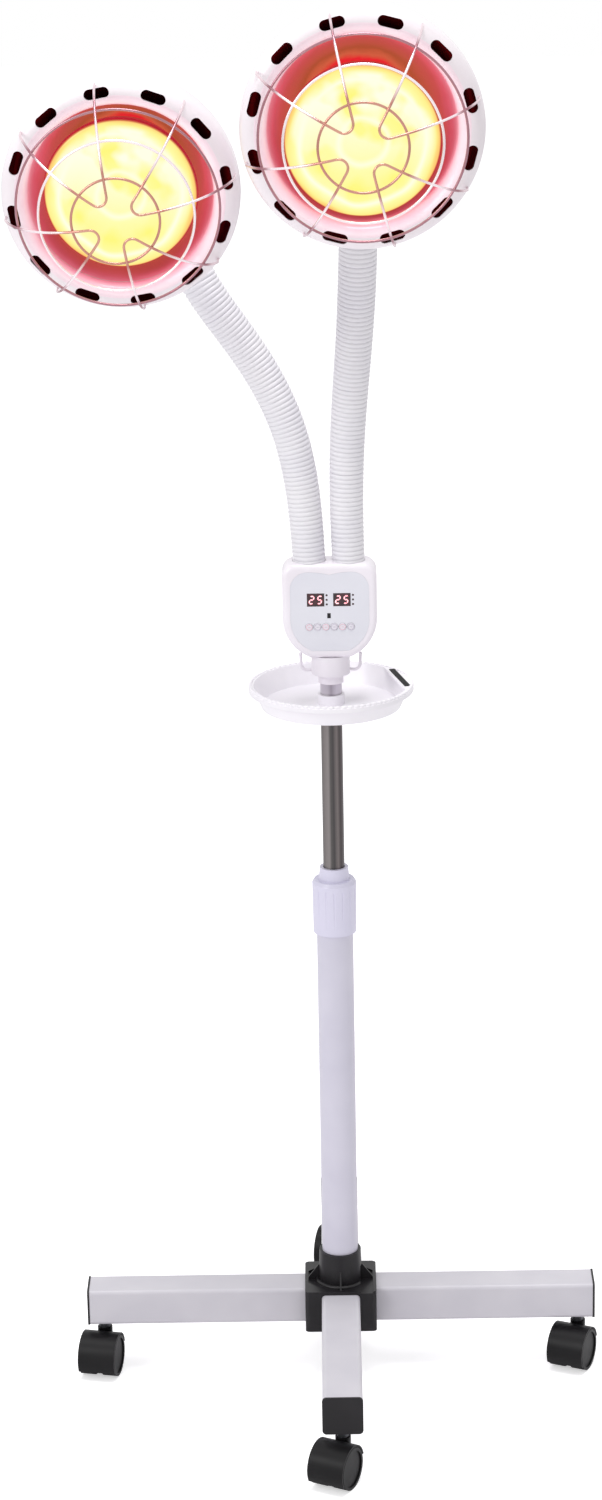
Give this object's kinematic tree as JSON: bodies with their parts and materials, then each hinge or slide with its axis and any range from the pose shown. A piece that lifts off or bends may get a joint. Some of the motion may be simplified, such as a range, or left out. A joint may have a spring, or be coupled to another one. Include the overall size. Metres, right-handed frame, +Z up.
{
  "type": "infrared heat therapy lamp",
  "caption": "Two-headed infrared heat lamp on a castor stand: guarded bell hoods on bending arms, control box, round tray, telescopic mast and cross base.",
  "frame": {"origin": "the point on the floor under the mast", "axes": "+Z up the mast, -Y the way the heads and the control panel face, +X to the right seen from the front"},
  "size_m": [0.6471, 0.7386, 1.6795],
  "materials": {
    "white_painted_steel": "smooth white powder coat",
    "hub_casting": "black enamelled casting",
    "polished_tube": "polished steel",
    "zinc_fasteners": "plated steel",
    "black_nylon": "moulded black nylon",
    "white_plastic": "moulded white ABS",
    "white_enamel": "glossy white heat-resistant moulding",
    "natural_acetal": "natural acetal",
    "ribbed_sleeve": "corrugated white plastic sleeve",
    "panel_film": "printed polycarbonate film",
    "display_glass": "dark red display window",
    "circuit_laminate": "solder-masked laminate",
    "button_rubber": "soft-touch key cap",
    "gland_nylon": "moulded nylon",
    "bulb_glass": "ruby and clear pressed glass",
    "bulb_screw_base": "rolled screw base",
    "holder_ceramic": "glazed porcelain",
    "guard_wire": "bright plated steel wire"
  },
  "bodies": {
    "base": {"base_hub": "hub_casting", "leg_right": "white_painted_steel", "leg_rear": "white_painted_steel", "leg_left": "white_painted_steel", "leg_front": "white_painted_steel", "leg_end_caps": "black_nylon", "hub_bolts": "zinc_fasteners", "castor_stems": "zinc_fasteners", "outer_tube": "white_painted_steel"},
    "bush": {"column_bush": "natural_acetal"},
    "collar": {"locking_collar": "white_plastic"},
    "mast": {"steel_tube": "polished_tube", "tube_guide": "natural_acetal", "neck_socket": "white_plastic", "box_front_shell": "white_plastic", "box_rear_shell": "white_plastic", "box_screws": "zinc_fasteners", "front_panel": "panel_film", "display_modules": "display_glass", "sensor_window": "display_glass", "circuit_board": "circuit_laminate", "cable_gland": "gland_nylon", "hose_right_1": "ribbed_sleeve", "hose_left_1": "ribbed_sleeve"},
    "tray": {"tray": "white_plastic", "tray_strip": "black_nylon"},
    "castor_fork_right": {"castor_fork_right": "black_nylon"},
    "castor_wheels_right": {"castor_wheels_right": "black_nylon"},
    "castor_fork_rear": {"castor_fork_rear": "black_nylon"},
    "castor_wheels_rear": {"castor_wheels_rear": "black_nylon"},
    "castor_fork_left": {"castor_fork_left": "black_nylon"},
    "castor_wheels_left": {"castor_wheels_left": "black_nylon"},
    "castor_fork_front": {"castor_fork_front": "black_nylon"},
    "castor_wheels_front": {"castor_wheels_front": "black_nylon"},
    "button_1": {"button_1": "button_rubber"},
    "button_2": {"button_2": "button_rubber"},
    "button_3": {"button_3": "button_rubber"},
    "button_4": {"button_4": "button_rubber"},
    "button_5": {"button_5": "button_rubber"},
    "button_6": {"button_6": "button_rubber"},
    "arm_right_2": {"hose_right_2": "ribbed_sleeve"},
    "arm_right_3": {"hose_right_3": "ribbed_sleeve"},
    "arm_right_4": {"hose_right_4": "ribbed_sleeve"},
    "arm_right_5": {"hose_right_5": "ribbed_sleeve", "rear_cap_right": "white_enamel", "hood_right": "white_enamel", "lamp_holder_right": "holder_ceramic", "bulb_base_right": "bulb_screw_base", "bulb_right": "bulb_glass", "wire_guard_right": "guard_wire"},
    "arm_left_2": {"hose_left_2": "ribbed_sleeve"},
    "arm_left_3": {"hose_left_3": "ribbed_sleeve"},
    "arm_left_4": {"hose_left_4": "ribbed_sleeve"},
    "arm_left_5": {"hose_left_5": "ribbed_sleeve", "rear_cap_left": "white_enamel", "hood_left": "white_enamel", "lamp_holder_left": "holder_ceramic", "bulb_base_left": "bulb_screw_base", "bulb_left": "bulb_glass", "wire_guard_left": "guard_wire"}
  },
  "joints": [
    {"name": "castor_swivel_right", "type": "hinge", "parent": "base", "child": "castor_fork_right", "pos_m": [0.288, 0, 0.05], "axis": [0, 0, 1], "continuous": true},
    {"name": "castor_roll_right", "type": "hinge", "parent": "castor_fork_right", "child": "castor_wheels_right", "pos_m": [0.27986, -0.01827, 0.025], "axis": [0.9135, -0.4067, 0], "continuous": true},
    {"name": "castor_swivel_rear", "type": "hinge", "parent": "base", "child": "castor_fork_rear", "pos_m": [0, 0.288, 0.05], "axis": [0, 0, 1], "continuous": true},
    {"name": "castor_roll_rear", "type": "hinge", "parent": "castor_fork_rear", "child": "castor_wheels_rear", "pos_m": [-0.00518, 0.26868, 0.025], "axis": [0.9659, -0.2588, 0], "continuous": true},
    {"name": "castor_swivel_left", "type": "hinge", "parent": "base", "child": "castor_fork_left", "pos_m": [-0.288, 0, 0.05], "axis": [0, 0, 1], "continuous": true},
    {"name": "castor_roll_left", "type": "hinge", "parent": "castor_fork_left", "child": "castor_wheels_left", "pos_m": [-0.29216, -0.01956, 0.025], "axis": [0.9781, -0.2079, 0], "continuous": true},
    {"name": "castor_swivel_front", "type": "hinge", "parent": "base", "child": "castor_fork_front", "pos_m": [0, -0.288, 0.05], "axis": [0, 0, 1], "continuous": true},
    {"name": "castor_roll_front", "type": "hinge", "parent": "castor_fork_front", "child": "castor_wheels_front", "pos_m": [-0.00908, -0.30582, 0.025], "axis": [0.891, -0.454, 0], "continuous": true},
    {"name": "mast_turn", "type": "hinge", "parent": "base", "child": "bush", "pos_m": [0, 0, 0.6], "axis": [0, 0, 1], "range_deg": [-170, 170]},
    {"name": "mast_height", "type": "slide", "parent": "bush", "child": "mast", "axis": [0, 0, 1], "range_m": [-0.18, 0.25]},
    {"name": "collar_lock", "type": "hinge", "parent": "base", "child": "collar", "pos_m": [0, 0, 0.6], "axis": [0, 0, 1], "range_deg": [0, 60]},
    {"name": "tray_turn", "type": "hinge", "parent": "mast", "child": "tray", "pos_m": [0, 0, 0.85], "axis": [0, 0, 1], "range_deg": [-170, 170]},
    {"name": "button_press_1", "type": "slide", "parent": "mast", "child": "button_1", "axis": [0, 1, 0], "range_m": [0, 0.0005], "stiffness_N_per_m": 800, "springref_m": -0.0005},
    {"name": "button_press_2", "type": "slide", "parent": "mast", "child": "button_2", "axis": [0, 1, 0], "range_m": [0, 0.0005], "stiffness_N_per_m": 800, "springref_m": -0.0005},
    {"name": "button_press_3", "type": "slide", "parent": "mast", "child": "button_3", "axis": [0, 1, 0], "range_m": [0, 0.0005], "stiffness_N_per_m": 800, "springref_m": -0.0005},
    {"name": "button_press_4", "type": "slide", "parent": "mast", "child": "button_4", "axis": [0, 1, 0], "range_m": [0, 0.0005], "stiffness_N_per_m": 800, "springref_m": -0.0005},
    {"name": "button_press_5", "type": "slide", "parent": "mast", "child": "button_5", "axis": [0, 1, 0], "range_m": [0, 0.0005], "stiffness_N_per_m": 800, "springref_m": -0.0005},
    {"name": "button_press_6", "type": "slide", "parent": "mast", "child": "button_6", "axis": [0, 1, 0], "range_m": [0, 0.0005], "stiffness_N_per_m": 800, "springref_m": -0.0005},
    {"name": "right_arm_nod", "type": "hinge", "parent": "mast", "child": "arm_right_2", "pos_m": [0.021, 0, 1.072], "axis": [1, 0, 0], "range_deg": [-12, 12]},
    {"name": "right_arm_sway", "type": "hinge", "parent": "arm_right_2", "child": "arm_right_3", "pos_m": [0.0238, -0.004, 1.17], "axis": [0, 1, 0], "range_deg": [-1.5, 12]},
    {"name": "right_arm_upper_nod", "type": "hinge", "parent": "arm_right_3", "child": "arm_right_4", "pos_m": [0.0317, -0.017, 1.269], "axis": [1, 0, 0], "range_deg": [-12, 12]},
    {"name": "right_arm_upper_sway", "type": "hinge", "parent": "arm_right_4", "child": "arm_right_5", "pos_m": [0.037, -0.038, 1.367], "axis": [0, 1, 0], "range_deg": [-1.5, 12]},
    {"name": "left_arm_nod", "type": "hinge", "parent": "mast", "child": "arm_left_2", "pos_m": [-0.0263, 0, 1.072], "axis": [1, 0, 0], "range_deg": [-12, 12]},
    {"name": "left_arm_sway", "type": "hinge", "parent": "arm_left_2", "child": "arm_left_3", "pos_m": [-0.0443, -0.002, 1.17], "axis": [0, -1, 0], "range_deg": [-1.5, 12]},
    {"name": "left_arm_upper_nod", "type": "hinge", "parent": "arm_left_3", "child": "arm_left_4", "pos_m": [-0.093, -0.004, 1.267], "axis": [1, 0, 0], "range_deg": [-12, 12]},
    {"name": "left_arm_upper_sway", "type": "hinge", "parent": "arm_left_4", "child": "arm_left_5", "pos_m": [-0.143, -0.006, 1.345], "axis": [0, -1, 0], "range_deg": [-1.5, 12]}
  ],
  "couplings": [
    {"joint": "right_arm_upper_nod", "follows": "right_arm_nod", "ratio": 1},
    {"joint": "right_arm_upper_sway", "follows": "right_arm_sway", "ratio": 1},
    {"joint": "left_arm_upper_nod", "follows": "left_arm_nod", "ratio": 1},
    {"joint": "left_arm_upper_sway", "follows": "left_arm_sway", "ratio": 1}
  ]
}
